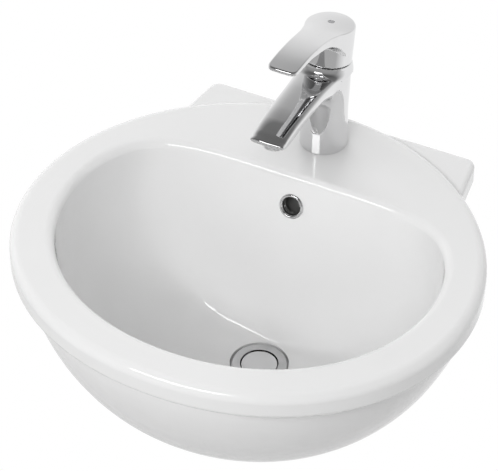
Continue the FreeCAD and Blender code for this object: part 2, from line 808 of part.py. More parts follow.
def tap_cavities():
    """Everything that is bored out of the tap's casting."""
    bore_depth = size("cartridge_bore_depth")
    bore = cylinder(size("cartridge_bore_radius"), bore_depth + 20, HEAD - HEAD_UP * bore_depth, HEAD_UP)
    thread = cylinder(size("nut_thread_radius") + size("thread_gap"), size("nut_thread_length") + 20,
                      HEAD - HEAD_UP * (size("nut_thread_length") + size("loose_gap")), HEAD_UP)
    mouth = aerator_centre() + UP * aerator_mouth()
    pocket_depth = size("aerator_length") + size("aerator_seal_thickness") - size("aerator_stand_out")
    pocket = cylinder(size("aerator_radius") + size("thread_gap"), pocket_depth + 10, mouth - UP * 10)
    water_from = aerator_centre() + UP * size("waterway_height")
    length = size("spout_reach") - size("aerator_back") - size("cartridge_body_radius") - 1.5
    water = cylinder(size("waterway_radius"), length, water_from, Vector(0, 1, 0))
    drop_in = cylinder(size("waterway_radius"), size("waterway_height") - aerator_mouth() - 2,
                       mouth + UP * 2)
    port = cylinder(size("port_radius"), size("port_depth") + 5,
                    TAP + Vector(0, -size("column_foot_radius") - 5, size("port_height")), Vector(0, 1, 0))
    stud = cylinder(size("stud_radius") + size("thread_gap"), size("stud_in_body") + 20,
                    TAP + Vector(0, -size("stud_forward"), size("stud_in_body") - size("stud_in_body") - 20))
    groove_out = cylinder(size("foot_seal_radius"), size("foot_seal_thickness"), TAP)
    groove_in = cylinder(size("foot_seal_radius") - size("foot_seal_width"),
                         size("foot_seal_thickness"), TAP)
    holes = [bore, thread, pocket, water, drop_in, port, stud, groove_out.cut(groove_in)]
    floor_height = size("head_height") - bore_depth
    for side in (-1, 1):
        foot = TAP + Vector(side * size("inlet_half_spacing"), size("inlet_set_back"),
                            -size("spigot_length"))
        holes.append(cylinder(size("inlet_radius"), size("inlet_depth"), foot))
        holes.append(cylinder(size("inlet_pipe_radius"), floor_height + size("spigot_length"), foot))
    return holes


def tap_body():
    spigot = cylinder(size("spigot_radius"), size("spigot_length") + 2, TAP - UP * size("spigot_length"))
    boss = cylinder(size("aerator_radius") + size("thread_gap") + size("aerator_boss_wall"), 8,
                    aerator_centre() + UP * aerator_mouth())
    shape = column().fuse([spout(), spigot, boss])
    return shape.cut(tap_cavities())


node(solid_node("TapBody", tap_body()), "tap_body")


# ---------------------------------------------------------------- aerator, port plug and tap fixing
def aerator():
    """Housing, perforated insert and seal in the underside of the spout's tip."""
    foot = aerator_centre() + UP * (aerator_mouth() - size("aerator_stand_out"))
    place = FreeCAD.Placement(foot, FreeCAD.Rotation())
    bore = "aerator_radius - aerator_wall"
    node(turned("AeratorHousing", [
        (bore, "0.6"),
        ("aerator_radius - 0.8", "0"),
        ("aerator_radius", "0.8"),
        ("aerator_radius", "aerator_length"),
        (bore, "aerator_length"),
    ]), "aerator_housing", place)
    insert = turned("AeratorInsert", [
        ("0", "1.2"),
        (bore + " - thread_gap", "1.2"),
        (bore + " - thread_gap", "aerator_length"),
        (bore + " - 1.6", "aerator_length"),
        (bore + " - 1.6", "3.4"),
        ("0", "3.4"),
    ])

    def middle_hole(sketch):
        ring_hole(sketch, "aerator_hole_radius")

    cut_through(insert, "MiddleHole", "XY_Plane", middle_hole)
    for ring in (1, 2):
        across = "aerator_hole_ring * %d" % ring

        def ring_of_holes(sketch, across=across):
            ring_hole(sketch, "aerator_hole_radius", across)

        first = cut_through(insert, "RingHole%d" % ring, "XY_Plane", ring_of_holes)
        pattern = insert.newObject("PartDesign::PolarPattern", "HoleRing%d" % ring)
        pattern.Originals = [first]
        pattern.Axis = (insert.getObject("AeratorInsertProfile"), ["V_Axis"])
        pattern.Angle = 360
        pattern.Occurrences = 6 * ring
        insert.Tip = pattern
        doc.recompute()
    node(insert, "aerator_insert", place)
    node(turned("AeratorSeal", [
        ("aerator_radius - 3.4", "aerator_length"),
        ("aerator_radius - loose_gap", "aerator_length"),
        ("aerator_radius - loose_gap", "aerator_length + aerator_seal_thickness"),
        ("aerator_radius - 3.4", "aerator_length + aerator_seal_thickness"),
    ]), "aerator_seal", place)


def port_plug():
    """The small round plug set into the front of the column."""
    plug = doc.addObject("Part::Cylinder", "PortPlug")
    plug.setExpression("Radius", bound("port_radius - slide_gap"))
    plug.setExpression("Height", bound("port_depth - port_plug_sink"))
    floor = TAP + Vector(0, -size("column_foot_radius") + size("port_depth"), size("port_height"))
    turn = FreeCAD.Rotation(UP, Vector(0, -1, 0))
    node(plug, "port_plug", FreeCAD.Placement(floor, turn))


def clamp_outline():
    """Corners of the slot that lets the water pipes past the clamp."""
    return [("-clamp_slot_half_width", "-clamp_slot_forward"),
            ("clamp_slot_half_width", "-clamp_slot_forward"),
            ("clamp_slot_half_width", "clamp_radius * 2"),
            ("-clamp_slot_half_width", "clamp_radius * 2")]


def clamp_disc(name, thickness, underside):
    """A horseshoe: a disc with a slot to the back and a hole for the stud."""
    body = turned(name, [("0", underside), ("clamp_radius", underside),
                         ("clamp_radius", underside + " + " + thickness),
                         ("0", underside + " + " + thickness)])

    def slot(sketch):
        outline(sketch, clamp_outline())

    def stud_hole(sketch):
        ring_hole(sketch, "stud_radius + loose_gap", "0", "-stud_forward")

    cut_through(body, name + "Slot", "XY_Plane", slot)
    cut_through(body, name + "StudHole", "XY_Plane", stud_hole)
    return body


def tap_fixing():
    """Foot seal, stud, horseshoe gasket and plate, and nut."""
    node(turned("FootSeal", [
        ("foot_seal_radius - foot_seal_width + slide_gap", "0"),
        ("foot_seal_radius - slide_gap", "0"),
        ("foot_seal_radius - slide_gap", "foot_seal_thickness"),
        ("foot_seal_radius - foot_seal_width + slide_gap", "foot_seal_thickness"),
    ]), "tap_foot_seal", FreeCAD.Placement(TAP, FreeCAD.Rotation()))
    under = FreeCAD.Placement(Vector(TAP.x, TAP.y, DECK_UNDERSIDE), FreeCAD.Rotation())
    node(clamp_disc("ClampGasket", "clamp_gasket_thickness", "-clamp_gasket_thickness"),
         "clamp_gasket", under)
    node(clamp_disc("ClampPlate", "clamp_plate_thickness",
                    "-clamp_gasket_thickness - clamp_plate_thickness"), "clamp_plate", under)
    stack = "clamp_gasket_thickness + clamp_plate_thickness + fixing_nut_thickness"
    nut = padded("FixingNut", hexagon("fixing_nut_flats"), "fixing_nut_thickness", "-(" + stack + ")")

    def bore(sketch):
        ring_hole(sketch, "stud_radius + thread_gap")

    cut_through(nut, "FixingNutBore", "XY_Plane", bore)
    forward = Vector(0, -size("stud_forward"), 0)
    node(nut, "fixing_nut", FreeCAD.Placement(under.Base + forward, FreeCAD.Rotation()))
    stud = doc.addObject("Part::Cylinder", "FixingStud")
    stud.setExpression("Radius", bound("stud_radius"))
    stud.setExpression("Height", bound("stud_in_body + deck_thickness + stud_past_nut + " + stack))
    foot = under.Base + forward - UP * (worth(stack) + size("stud_past_nut"))
    node(stud, "fixing_stud", FreeCAD.Placement(foot, FreeCAD.Rotation()))


aerator()
port_plug()
tap_fixing()


# ---------------------------------------------------------------- mixing cartridge
FLOOR_OF_BORE = "-cartridge_bore_depth"
FOOT = FLOOR_OF_BORE + " + cartridge_seal_thickness"
CAVITY = FOOT + " + cartridge_floor"
DISC_TOP = CAVITY + " + disc_thickness"
MOVING_TOP = DISC_TOP + " + running_gap + moving_disc_thickness"
CARRIAGE_TOP = MOVING_TOP + " + carriage_height"
TRAVEL = "stem_arm * lever_lift_limit * 0.0174533"


def cartridge_fixed():
    """Housing, seal, lower disc, ring nut and cover, which stay with the tap's body."""
    shoulder = "-cartridge_shoulder_drop"
    housing = turned("CartridgeHousing", [
        ("0", FOOT),
        ("cartridge_body_radius", FOOT),
        ("cartridge_body_radius", shoulder + " - cartridge_shoulder_thickness"),
        ("cartridge_shoulder_radius", shoulder + " - cartridge_shoulder_thickness"),
        ("cartridge_shoulder_radius", shoulder),
        ("cartridge_body_radius", shoulder),
        ("cartridge_body_radius", "cartridge_top"),
        ("cartridge_cavity_radius", "cartridge_top"),
        ("cartridge_cavity_radius", CAVITY),
        ("0", CAVITY),
    ])

    def ports(sketch):
        ring_hole(sketch, "cartridge_port_radius", "inlet_half_spacing", "0")
        ring_hole(sketch, "cartridge_port_radius", "-inlet_half_spacing", "0")

    cut_down(housing, "HousingPorts", "XY_Plane", ports, "cartridge_floor + 1", CAVITY + " + 0.5")
    node(housing, "cartridge_housing", HEAD_PLACE)
    node(turned("CartridgeSeal", [
        ("inlet_half_spacing + inlet_pipe_radius + 0.6", FLOOR_OF_BORE),
        ("cartridge_body_radius - 0.4", FLOOR_OF_BORE),
        ("cartridge_body_radius - 0.4", FOOT),
        ("inlet_half_spacing + inlet_pipe_radius + 0.6", FOOT),
    ]), "cartridge_seal", HEAD_PLACE)
    lower = turned("LowerDisc", [
        ("0", CAVITY), ("cartridge_cavity_radius - thread_gap", CAVITY),
        ("cartridge_cavity_radius - thread_gap", DISC_TOP), ("0", DISC_TOP)])
    cut_through(lower, "DiscPorts", "XY_Plane", ports)
    node(lower, "lower_disc", HEAD_PLACE)
    nut_in = "cartridge_shoulder_radius + thread_gap"
    neck = "cartridge_body_radius + thread_gap"
    node(turned("CartridgeNut", [
        (nut_in, "-nut_thread_length"),
        ("nut_thread_radius", "-nut_thread_length"),
        ("nut_thread_radius", "0"),
        ("nut_head_radius", "0"),
        ("nut_head_radius", "nut_head_height"),
        (neck, "nut_head_height"),
        (neck, shoulder + " + running_gap"),
        (nut_in, shoulder + " + running_gap"),
    ]), "cartridge_nut", HEAD_PLACE)
    inside = "cover_radius - cover_wall"
    node(turned("CartridgeCover", [
        (inside, "running_gap"),
        ("cover_radius", "running_gap"),
        ("cover_radius", "cover_height - 3.6"),
        ("cover_radius - 1.2", "cover_height - 1.2"),
        ("cover_radius - 3.6", "cover_height"),
        ("cover_opening_radius", "cover_height"),
        ("cover_opening_radius", "cartridge_top + loose_gap"),
        (inside + " - 2.6", "cartridge_top + loose_gap"),
        (inside, "cover_height - 4.6"),
    ]), "cartridge_cover", HEAD_PLACE)


def rotor():
    """The part of the cartridge that turns with the lever and carries the stem's pin."""
    foot = CARRIAGE_TOP + " + slide_gap"
    body = turned("Rotor", [
        ("0", foot),
        ("cartridge_cavity_radius - slide_gap", foot),
        ("cartridge_cavity_radius - slide_gap", foot + " + rotor_flange_thickness"),
        ("rotor_neck_radius", foot + " + rotor_flange_thickness"),
        ("rotor_neck_radius", "rotor_top"),
        ("0", "rotor_top"),
    ])

    def slot(sketch):
        half = "stem_half_width + slide_gap"
        length = "stem_half_width * 1.6"
        outline(sketch, [("-(" + half + ")", "-(" + length + ")"), (half, "-(" + length + ")"),
                         (half, length), ("-(" + half + ")", length)])

    def pin_hole(sketch):
        ring_hole(sketch, "pivot_pin_radius + running_gap", "0", "pivot_height")

    cut_through(body, "StemSlot", "XY_Plane", slot)
    cut_through(body, "PinHole", "YZ_Plane", pin_hole)
    node(body, "rotor", HEAD_PLACE)


def pivot_pin():
    pin = doc.addObject("Part::Cylinder", "PivotPin")
    pin.setExpression("Radius", bound("pivot_pin_radius"))
    pin.setExpression("Height", bound("rotor_neck_radius * 2 - 2.4"))
    start = Vector(-worth("rotor_neck_radius - 1.2"), 0, size("pivot_height"))
    local = FreeCAD.Placement(start, FreeCAD.Rotation(UP, SIDE))
    node(pin, "pivot_pin", HEAD_PLACE.multiply(local))


def carriage():
    """The upper disc and the carriage that slides it, driven by the foot of the stem."""
    place = HEAD_PLACE.multiply(FreeCAD.Placement(Vector(0, worth(TRAVEL) / 2, 0), FreeCAD.Rotation()))
    upper = turned("UpperDisc", [
        ("0", DISC_TOP + " + running_gap"),
        ("carriage_radius", DISC_TOP + " + running_gap"),
        ("carriage_radius", MOVING_TOP),
        ("0", MOVING_TOP),
    ])

    def chamber(sketch):
        ring_hole(sketch, "carriage_radius * 0.5")

    cut_down(upper, "MixingHollow", "XY_Plane", chamber, "moving_disc_thickness * 0.6",
             DISC_TOP + " + running_gap + moving_disc_thickness * 0.5")
    node(upper, "upper_disc", place)
    slider = turned("Carriage", [
        ("0", MOVING_TOP),
        ("carriage_radius", MOVING_TOP),
        ("carriage_radius", CARRIAGE_TOP),
        ("0", CARRIAGE_TOP),
    ])

    def socket(sketch):
        ring_hole(sketch, "stem_ball_radius + slide_gap", "0", "-(" + TRAVEL + ") / 2")

    cut_down(slider, "StemSocket", "XY_Plane", socket, "stem_ball_radius * 2 + 1.6", CARRIAGE_TOP)
    node(slider, "disc_carriage", place)


def stem():
    """Square stem on the pivot pin, with a rod and a ball that push the carriage."""
    half = size("stem_half_width")
    pivot = size("pivot_height")
    ball_height = pivot - size("stem_arm")
    shank = box(half, -half, half, pivot - half, size("stem_top"))
    pin_hole = cylinder(size("pivot_pin_radius") + size("running_gap"), 4 * half,
                        Vector(-2 * half, 0, pivot), SIDE)
    rod = cylinder(size("stem_rod_radius"), size("stem_arm") - 1, Vector(0, 0, ball_height))
    ball = Part.makeSphere(size("stem_ball_radius"), Vector(0, 0, ball_height))
    shape = shank.fuse([rod, ball]).cut(pin_hole)
    node(solid_node("CartridgeStem", shape), "cartridge_stem", HEAD_PLACE)


cartridge_fixed()
rotor()
pivot_pin()
carriage()
stem()


# ---------------------------------------------------------------- lever, in the head's own frame
# Share of the lever's reach, and the height there as a share of the arch.
LEVER_ARCH = [(-0.25, 0.68), (-0.10, 0.31), (0.0, 0.0), (0.10, -0.10), (0.20, -0.03), (0.33, 0.45),
              (0.53, 1.0), (0.73, 0.72), (0.81, 0.28), (0.93, -0.60), (1.04, -1.50)]
# Share of the lever's reach, and the tongue's thickness there as a share of its thickness.
LEVER_DEPTH = [(0.28, 2.35), (0.36, 1.8), (0.48, 1.66), (0.68, 1.38), (0.82, 1.28), (1.04, 1.05)]


def lever_top_points():
    """Points along the arched top, forward of the axis being -y."""
    reach = size("lever_reach")
    top = size("lever_top")
    arch = size("lever_arch")
    return [Vector(0, -reach * share, top + arch * rise) for share, rise in LEVER_ARCH]


def lever_under_points(top):
    """Points along the tongue's underside, measured down from the top's curve."""
    points = []
    for share, depth in LEVER_DEPTH:
        forward = size("lever_reach") * share
        line = Part.makeLine(Vector(0, -forward, 0), Vector(0, -forward, size("lever_top") * 2))
        height = top.distToShape(line)[1][0][0].z
        points.append(Vector(0, -forward, height - size("lever_thickness") * depth))
    return points


def tongue_plan():
    """Outline of the tongue from above; it starts inside the round cap."""
    cap = size("skirt_radius")
    wide = size("lever_half_width")
    reach = size("lever_reach")
    side = [(cap * 0.875, cap * 0.3), (cap * 0.855, reach * 0.12), (wide + 3.6, reach * 0.20),
            (wide + 1.3, reach * 0.29), (wide + 0.2, reach * 0.40), (wide - 0.2, reach * 0.53),
            (wide - 0.5, reach * 0.70), (wide - 0.5, reach * 0.85), (wide - 0.8, reach * 0.93),
            (wide - 2.6, reach * 0.973), (wide - 6.2, reach * 0.994)]
    right = [Vector(x, -f, 0) for x, f in side]
    left = [Vector(-x, -f, 0) for x, f in reversed(side)]
    front = smooth_edge(right + [Vector(0, -reach, 0)] + left)
    return Part.Face(Part.Wire([front, Part.makeLine(left[-1], right[0])]))


def lever_side():
    """Side view of the cap's roof and the tongue."""
    cap = size("skirt_radius")
    roof = size("lever_top") - size("lever_roof")
    top_points = lever_top_points()
    top = smooth_edge(top_points)
    under = [Vector(0, -cap * 0.78, roof)] + lever_under_points(top)
    behind = Vector(0, top_points[0].y, roof)
    edges = [top, Part.makeLine(top_points[-1], under[-1]), smooth_edge(under[::-1]),
             Part.makeLine(under[0], behind), Part.makeLine(behind, top_points[0])]
    return Part.Face(Part.Wire(edges))


def skirt():
    """The hollow round skirt, with its lower edge cut back behind so that the lever can lift."""
    outer = size("skirt_radius")
    gap = size("skirt_gap")
    roof = size("lever_top") - size("lever_roof") + 0.5
    boss_bottom = size("lever_boss_bottom")
    ring = cylinder(outer, roof - gap, Vector(0, 0, gap))
    hollow = cylinder(outer - size("skirt_wall"), roof - gap, Vector(0, 0, gap))
    boss = cylinder(size("lever_boss_radius"), roof - boss_bottom, Vector(0, 0, boss_bottom))
    relief = box(outer + 5, -outer * 3, outer * 3, -outer * 2, 0)
    relief.translate(Vector(0, 0, gap - 0.6))
    relief.rotate(Vector(0, 0, size("pivot_height")), SIDE, size("lever_lift_limit"))
    return ring.cut(hollow).fuse(boss).cut(relief)


def tap_lever():
    outer = size("skirt_radius")
    tall = size("lever_top") * 2
    plan = cylinder(outer, tall, Vector(0, 0, 0)).fuse(tongue_plan().extrude(UP * tall))
    band = lever_side()
    band.translate(SIDE * -2 * outer)
    shape = skirt().fuse(plan.common(band.extrude(SIDE * 4 * outer)))
    boss_bottom = size("lever_boss_bottom")
    half = size("stem_half_width") + size("running_gap")
    socket = box(half, -half, half, boss_bottom - 1, size("stem_top") + size("running_gap"))
    screw_height = size("set_screw_height")
    screw_hole = cylinder(size("set_screw_radius") + size("thread_gap"), 12,
                          Vector(0, 0, screw_height), Vector(0, 1, 0))
    key_hole = cylinder(size("key_hole_radius"), 20, Vector(0, 12, screw_height), Vector(0, 1, 0))
    mark = cylinder(size("indicator_radius") + size("thread_gap"), 20,
                    Vector(0, 0, size("lever_top") - size("indicator_depth")))
    return shape.cut([socket, screw_hole, key_hole, mark])


def lever_parts():
    node(solid_node("TapLever", tap_lever()), "tap_lever", HEAD_PLACE)
    screw = doc.addObject("Part::Cylinder", "SetScrew")
    screw.setExpression("Radius", bound("set_screw_radius"))
    screw.setExpression("Height", bound("set_screw_length"))
    start = Vector(0, worth("stem_half_width + running_gap"), size("set_screw_height"))
    local = FreeCAD.Placement(start, FreeCAD.Rotation(UP, Vector(0, 1, 0)))
    node(screw, "lever_set_screw", HEAD_PLACE.multiply(local))
    mark = doc.addObject("Part::Cylinder", "Indicator")
    mark.setExpression("Radius", bound("indicator_radius"))
    mark.setExpression("Height", bound("indicator_depth - slide_gap"))
    seat = Vector(0, 0, size("lever_top") - size("indicator_depth"))
    node(mark, "lever_indicator", HEAD_PLACE.multiply(FreeCAD.Placement(seat, FreeCAD.Rotation())))


lever_parts()

# ---------------------------------------------------------------- check and write
doc.recompute()
for item in doc.Objects:
    if "Invalid" in item.State or "Error" in item.State:
        raise RuntimeError(item.Name + " did not build: " + str(item.State))
os.makedirs("parts", exist_ok=True)
for item in NODES:
    shape = item.Shape
    if shape.isNull() or not shape.isValid() or not shape.Solids:
        raise RuntimeError(item.Label + " has no valid solid")
    shape.exportStep("parts/" + item.Label + ".step")
    print(item.Label, len(shape.Solids), round(shape.Volume, 1))
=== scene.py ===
"""Semi recessed basin with its mixer tap and waste: materials, refined surfaces, light and camera."""
import json
import math
import bmesh
import bpy
import numpy as np
from mathutils import Matrix, Vector

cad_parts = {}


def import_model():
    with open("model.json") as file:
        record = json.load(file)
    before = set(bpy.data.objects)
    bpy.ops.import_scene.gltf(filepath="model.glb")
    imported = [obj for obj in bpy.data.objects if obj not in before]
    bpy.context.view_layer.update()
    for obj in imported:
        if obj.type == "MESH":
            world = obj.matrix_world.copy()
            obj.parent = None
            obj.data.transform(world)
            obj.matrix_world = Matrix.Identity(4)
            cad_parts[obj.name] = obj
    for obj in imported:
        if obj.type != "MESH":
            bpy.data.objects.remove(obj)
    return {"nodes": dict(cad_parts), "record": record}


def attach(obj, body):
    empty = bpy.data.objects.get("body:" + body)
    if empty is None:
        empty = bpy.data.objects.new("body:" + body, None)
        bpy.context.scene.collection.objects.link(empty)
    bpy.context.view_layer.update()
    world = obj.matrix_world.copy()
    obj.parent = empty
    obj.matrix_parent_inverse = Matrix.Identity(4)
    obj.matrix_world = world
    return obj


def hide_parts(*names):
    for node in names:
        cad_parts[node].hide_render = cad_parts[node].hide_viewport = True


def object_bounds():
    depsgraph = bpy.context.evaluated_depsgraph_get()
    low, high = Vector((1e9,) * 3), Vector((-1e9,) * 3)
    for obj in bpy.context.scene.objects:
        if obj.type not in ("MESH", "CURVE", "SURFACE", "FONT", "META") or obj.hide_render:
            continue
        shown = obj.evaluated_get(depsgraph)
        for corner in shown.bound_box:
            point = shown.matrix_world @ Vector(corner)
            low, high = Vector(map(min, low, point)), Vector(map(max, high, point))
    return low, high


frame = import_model()
CAD_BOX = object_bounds()
NODES = frame["nodes"]
MM = 0.001
COAT_ROUGHNESS = 0.03
REFRACTION = 1.5
CUT_EDGE = math.radians(38)


def placed(name, data):
    """A new object of some data, linked to the scene."""
    piece = bpy.data.objects.new(name, data)
    bpy.context.scene.collection.objects.link(piece)
    return piece


def pointing(direction):
    """A rotation matrix that turns the Z axis to a direction."""
    return Vector(direction).to_track_quat("Z", "Y").to_matrix().to_4x4()


# ---------------------------------------------------------------- materials
def new_material(name):
    """A node material with a Principled shader; returns (material, tree, shader)."""
    material = bpy.data.materials.new(name)
    material.use_nodes = True
    tree = material.node_tree
    return material, tree, tree.nodes["Principled BSDF"]


def noise(tree, scale, detail=3.0, rough=0.5, stretch=(1, 1, 1)):
    """A noise texture in object space."""
    place = tree.nodes.new("ShaderNodeTexCoord")
    mapping = tree.nodes.new("ShaderNodeMapping")
    mapping.inputs["Scale"].default_value = stretch
    texture = tree.nodes.new("ShaderNodeTexNoise")
    texture.inputs["Scale"].default_value = scale
    texture.inputs["Detail"].default_value = detail
    texture.inputs["Roughness"].default_value = rough
    tree.links.new(place.outputs["Object"], mapping.inputs["Vector"])
    tree.links.new(mapping.outputs["Vector"], texture.inputs["Vector"])
    return texture.outputs["Fac"]


def spread(tree, source, low, high, from_low=0.3, from_high=0.7):
    """A noise value brought into the range low to high."""
    node = tree.nodes.new("ShaderNodeMapRange")
    node.inputs["From Min"].default_value = from_low
    node.inputs["From Max"].default_value = from_high
    node.inputs["To Min"].default_value = low
    node.inputs["To Max"].default_value = high
    tree.links.new(source, node.inputs["Value"])
    return node.outputs["Result"]


def blend_colours(tree, source, first, second):
    """A colour between two, by a noise value."""
    ramp = tree.nodes.new("ShaderNodeValToRGB")
    ramp.color_ramp.elements[0].position = 0.3
    ramp.color_ramp.elements[1].position = 0.7
    ramp.color_ramp.elements[0].color = (*first, 1)
    ramp.color_ramp.elements[1].color = (*second, 1)
    tree.links.new(source, ramp.inputs["Fac"])
    return ramp.outputs["Color"]


def bump(tree, shader, source, strength, distance):
    """Surface relief from a noise value; distance in metres."""
    node = tree.nodes.new("ShaderNodeBump")
    node.inputs["Strength"].default_value = strength
    node.inputs["Distance"].default_value = distance
    tree.links.new(source, node.inputs["Height"])
    tree.links.new(node.outputs["Normal"], shader.inputs["Normal"])


def surface(name, first, second, rough, metallic=0.0, scale=40.0, relief=(0.2, 0.0001, 200.0),
            coat=0.0, stretch=(1, 1, 1)):
    """A procedural material: mottled colour, uneven roughness and fine relief."""
    material, tree, shader = new_material(name)
    shader.inputs["Metallic"].default_value = metallic
    shader.inputs["IOR"].default_value = REFRACTION
    shader.inputs["Coat Weight"].default_value = coat
    shader.inputs["Coat Roughness"].default_value = COAT_ROUGHNESS
    mottle = noise(tree, scale, 4.0)
    tree.links.new(blend_colours(tree, mottle, first, second), shader.inputs["Base Color"])
    uneven = noise(tree, scale * 0.6, 2.0)
    tree.links.new(spread(tree, uneven, *rough), shader.inputs["Roughness"])
    strength, distance, relief_scale = relief
    bump(tree, shader, noise(tree, relief_scale, 3.0, 0.6, stretch), strength, distance)
    return material


GLAZE = surface("glaze", (0.805, 0.805, 0.805), (0.82, 0.82, 0.82), (0.05, 0.09), scale=9.0,
                relief=(0.06, 0.0004, 16.0), coat=0.6)
CHROME = surface("chrome", (0.73, 0.73, 0.735), (0.76, 0.76, 0.765), (0.03, 0.06), metallic=1.0,
                 scale=30.0, relief=(0.03, 0.0001, 60.0))
STEEL = surface("steel", (0.52, 0.52, 0.52), (0.62, 0.62, 0.61), (0.22, 0.38), metallic=1.0,
                scale=90.0, relief=(0.3, 0.00005, 500.0), stretch=(1, 1, 8))
BRASS = surface("brass", (0.60, 0.45, 0.21), (0.72, 0.56, 0.29), (0.22, 0.36), metallic=1.0,
                scale=70.0, relief=(0.3, 0.00006, 420.0))
RUBBER = surface("rubber", (0.018, 0.018, 0.018), (0.035, 0.035, 0.034), (0.55, 0.75), scale=120.0,
                 relief=(0.5, 0.0001, 700.0))
PLASTIC = surface("plastic", (0.66, 0.66, 0.64), (0.74, 0.74, 0.72), (0.38, 0.52), scale=80.0,
                  relief=(0.3, 0.00008, 500.0))
DISC = surface("disc", (0.84, 0.83, 0.80), (0.90, 0.89, 0.87), (0.18, 0.26), scale=60.0,
               relief=(0.2, 0.00003, 400.0))
SATIN = surface("satin", (0.55, 0.55, 0.555), (0.66, 0.66, 0.665), (0.07, 0.16), metallic=1.0,
                scale=60.0, relief=(0.12, 0.00008, 260.0))
MARK = surface("mark", (0.22, 0.22, 0.23), (0.34, 0.34, 0.35), (0.12, 0.2), scale=200.0,
               relief=(0.1, 0.00003, 300.0), coat=0.5)
FINISH = {"glaze": GLAZE, "chrome": CHROME, "steel": STEEL, "brass": BRASS, "rubber": RUBBER,
          "plastic": PLASTIC, "disc": DISC, "mark": MARK}
WASTE = Vector((0, -207.7, -168)) * MM
OVERFLOW = Vector((0, -130.68, -3.0)) * MM
OVERFLOW_OUT = Vector((0, -0.95017, 0.31174))
PASSAGE_REACH = 16 * MM
PASSAGE_FADE = 17.4 * MM
# Painted shade for the inside of the overflow's passage, a near-black colour.
PASSAGE_SHADE_COLOUR = (0.09, 0.09, 0.088, 1)


def paint_passage_shade():
    """Painted shade: the glaze turns near black inside the overflow's passage behind its ring, where shade
    falls.
    """
    tree = GLAZE.node_tree
    shader = tree.nodes["Principled BSDF"]
    glazed = shader.inputs["Base Color"].links[0].from_socket
    place = tree.nodes.new("ShaderNodeTexCoord")
    away = tree.nodes.new("ShaderNodeVectorMath")
    away.operation = "DISTANCE"
    away.inputs[1].default_value = OVERFLOW - PASSAGE_REACH * OVERFLOW_OUT
    tree.links.new(place.outputs["Object"], away.inputs[0])
    inside = spread(tree, away.outputs["Value"], 1.0, 0.0, PASSAGE_REACH, PASSAGE_FADE)
    mix = tree.nodes.new("ShaderNodeMix")
    mix.data_type = "RGBA"
    mix.inputs["B"].default_value = PASSAGE_SHADE_COLOUR
    tree.links.new(inside, mix.inputs["Factor"])
    tree.links.new(glazed, mix.inputs["A"])
    tree.links.new(mix.outputs["Result"], shader.inputs["Base Color"])


def dress_nodes():
    """Gives every CAD node the finish that its material slot names."""
    for entry in frame["record"]["subparts"]:
        piece = NODES[entry["node"]]
        material = SATIN if entry["node"] == "waste_flange" else FINISH[entry["material_slot"]]
        piece.data.materials.clear()
        piece.data.materials.append(material)


dress_nodes()
# Paints shade into the glaze inside the overflow's passage.
paint_passage_shade()


# ---------------------------------------------------------------- smooth forms from formulas
NEWTON_STEPS = 6
HOLE_SIDES = 64
TURNED_SIDES = 96
OVERCUT = 20 * MM


def table(values, knots):
    """Monotone cubic interpolation through (place, value) knots."""
    xs = np.array([k[0] for k in knots], float)
    ys = np.array([k[1] for k in knots], float)
    gaps = np.diff(xs)
    rises = np.diff(ys) / gaps
    slopes = np.zeros(len(xs))
    same = rises[1:] * rises[:-1] > 0
    mean = 2 * rises[1:] * rises[:-1] / np.where(same, rises[1:] + rises[:-1], 1)
    slopes[1:-1] = np.where(same, mean, 0)
    slopes[0] = rises[0]
    slopes[-1] = rises[-1]
    values = np.clip(values, xs[0], xs[-1])
    k = np.clip(np.searchsorted(xs, values) - 1, 0, len(gaps) - 1)
    t = (values - xs[k]) / gaps[k]
    a = ys[k] * (1 + 2 * t) * (1 - t) ** 2 + ys[k + 1] * t * t * (3 - 2 * t)
    return a + gaps[k] * (slopes[k] * t * (1 - t) ** 2 - slopes[k + 1] * t * t * (1 - t))


def smooth_min(a, b, reach):
    """The lower of two fields, blended over a reach."""
    h = np.clip(0.5 + 0.5 * (b - a) / reach, 0, 1)
    return b + (a - b) * h - reach * h * (1 - h)


def round_max(a, b, radius):
    """The higher of two fields, with a round edge of a radius where they meet."""
    outside = np.hypot(np.maximum(a + radius, 0), np.maximum(b + radius, 0))
    return np.minimum(np.maximum(a, b), -radius) + outside


def surface_nets(field, low, high, step):
    """Vertices and quads of the surface where the field is 0, inside a box.

    Each grid cell that the surface crosses gives one vertex, and each grid edge that it crosses one quad.
    """
    counts = [int(math.ceil((high[i] - low[i]) / step)) + 1 for i in range(3)]
    axes = [low[i] + step * np.arange(counts[i]) for i in range(3)]
    grid = np.stack(np.meshgrid(*axes, indexing="ij"), -1)
    inside = field(grid.reshape(-1, 3)).reshape(counts) < 0
    total = np.zeros([c - 1 for c in counts], int)
    for corner in np.ndindex(2, 2, 2):
        part = tuple(slice(corner[i], counts[i] - 1 + corner[i]) for i in range(3))
        total += inside[part]
    active = (total > 0) & (total < 8)
    number = -np.ones(active.shape, int)
    number[active] = np.arange(active.sum())
    points = (np.argwhere(active) + 0.5) * step + np.array(low)
    for _ in range(NEWTON_STEPS):
        points = projected(field, points, step)
    quads = []
    for axis in range(3):
        one, two = [i for i in range(3) if i != axis]
        first = [slice(1, counts[i] - 1) for i in range(3)]
        first[axis] = slice(0, counts[axis] - 1)
        second = list(first)
        second[axis] = slice(1, counts[axis])
        change = inside[tuple(first)] != inside[tuple(second)]
        places = np.argwhere(change)
        places[:, one] += 1
        places[:, two] += 1
        ring = []
        for da, db in ((-1, -1), (0, -1), (0, 0), (-1, 0)):
            cell = places.copy()
            cell[:, one] += da
            cell[:, two] += db
            ring.append(number[cell[:, 0], cell[:, 1], cell[:, 2]])
        ring = np.stack(ring, 1)
        starts_inside = inside[places[:, 0], places[:, 1], places[:, 2]]
        flip = starts_inside if axis != 1 else ~starts_inside
        quads.append(np.where(flip[:, None], ring, ring[:, ::-1]))
    return points, np.concatenate(quads)


def slope_of(field, points, tiny=0.02):
    """How fast a field rises at each point, in each direction."""
    shifts = tiny * np.eye(3)
    return np.stack([(field(points + s) - field(points - s)) / (2 * tiny) for s in shifts], -1)


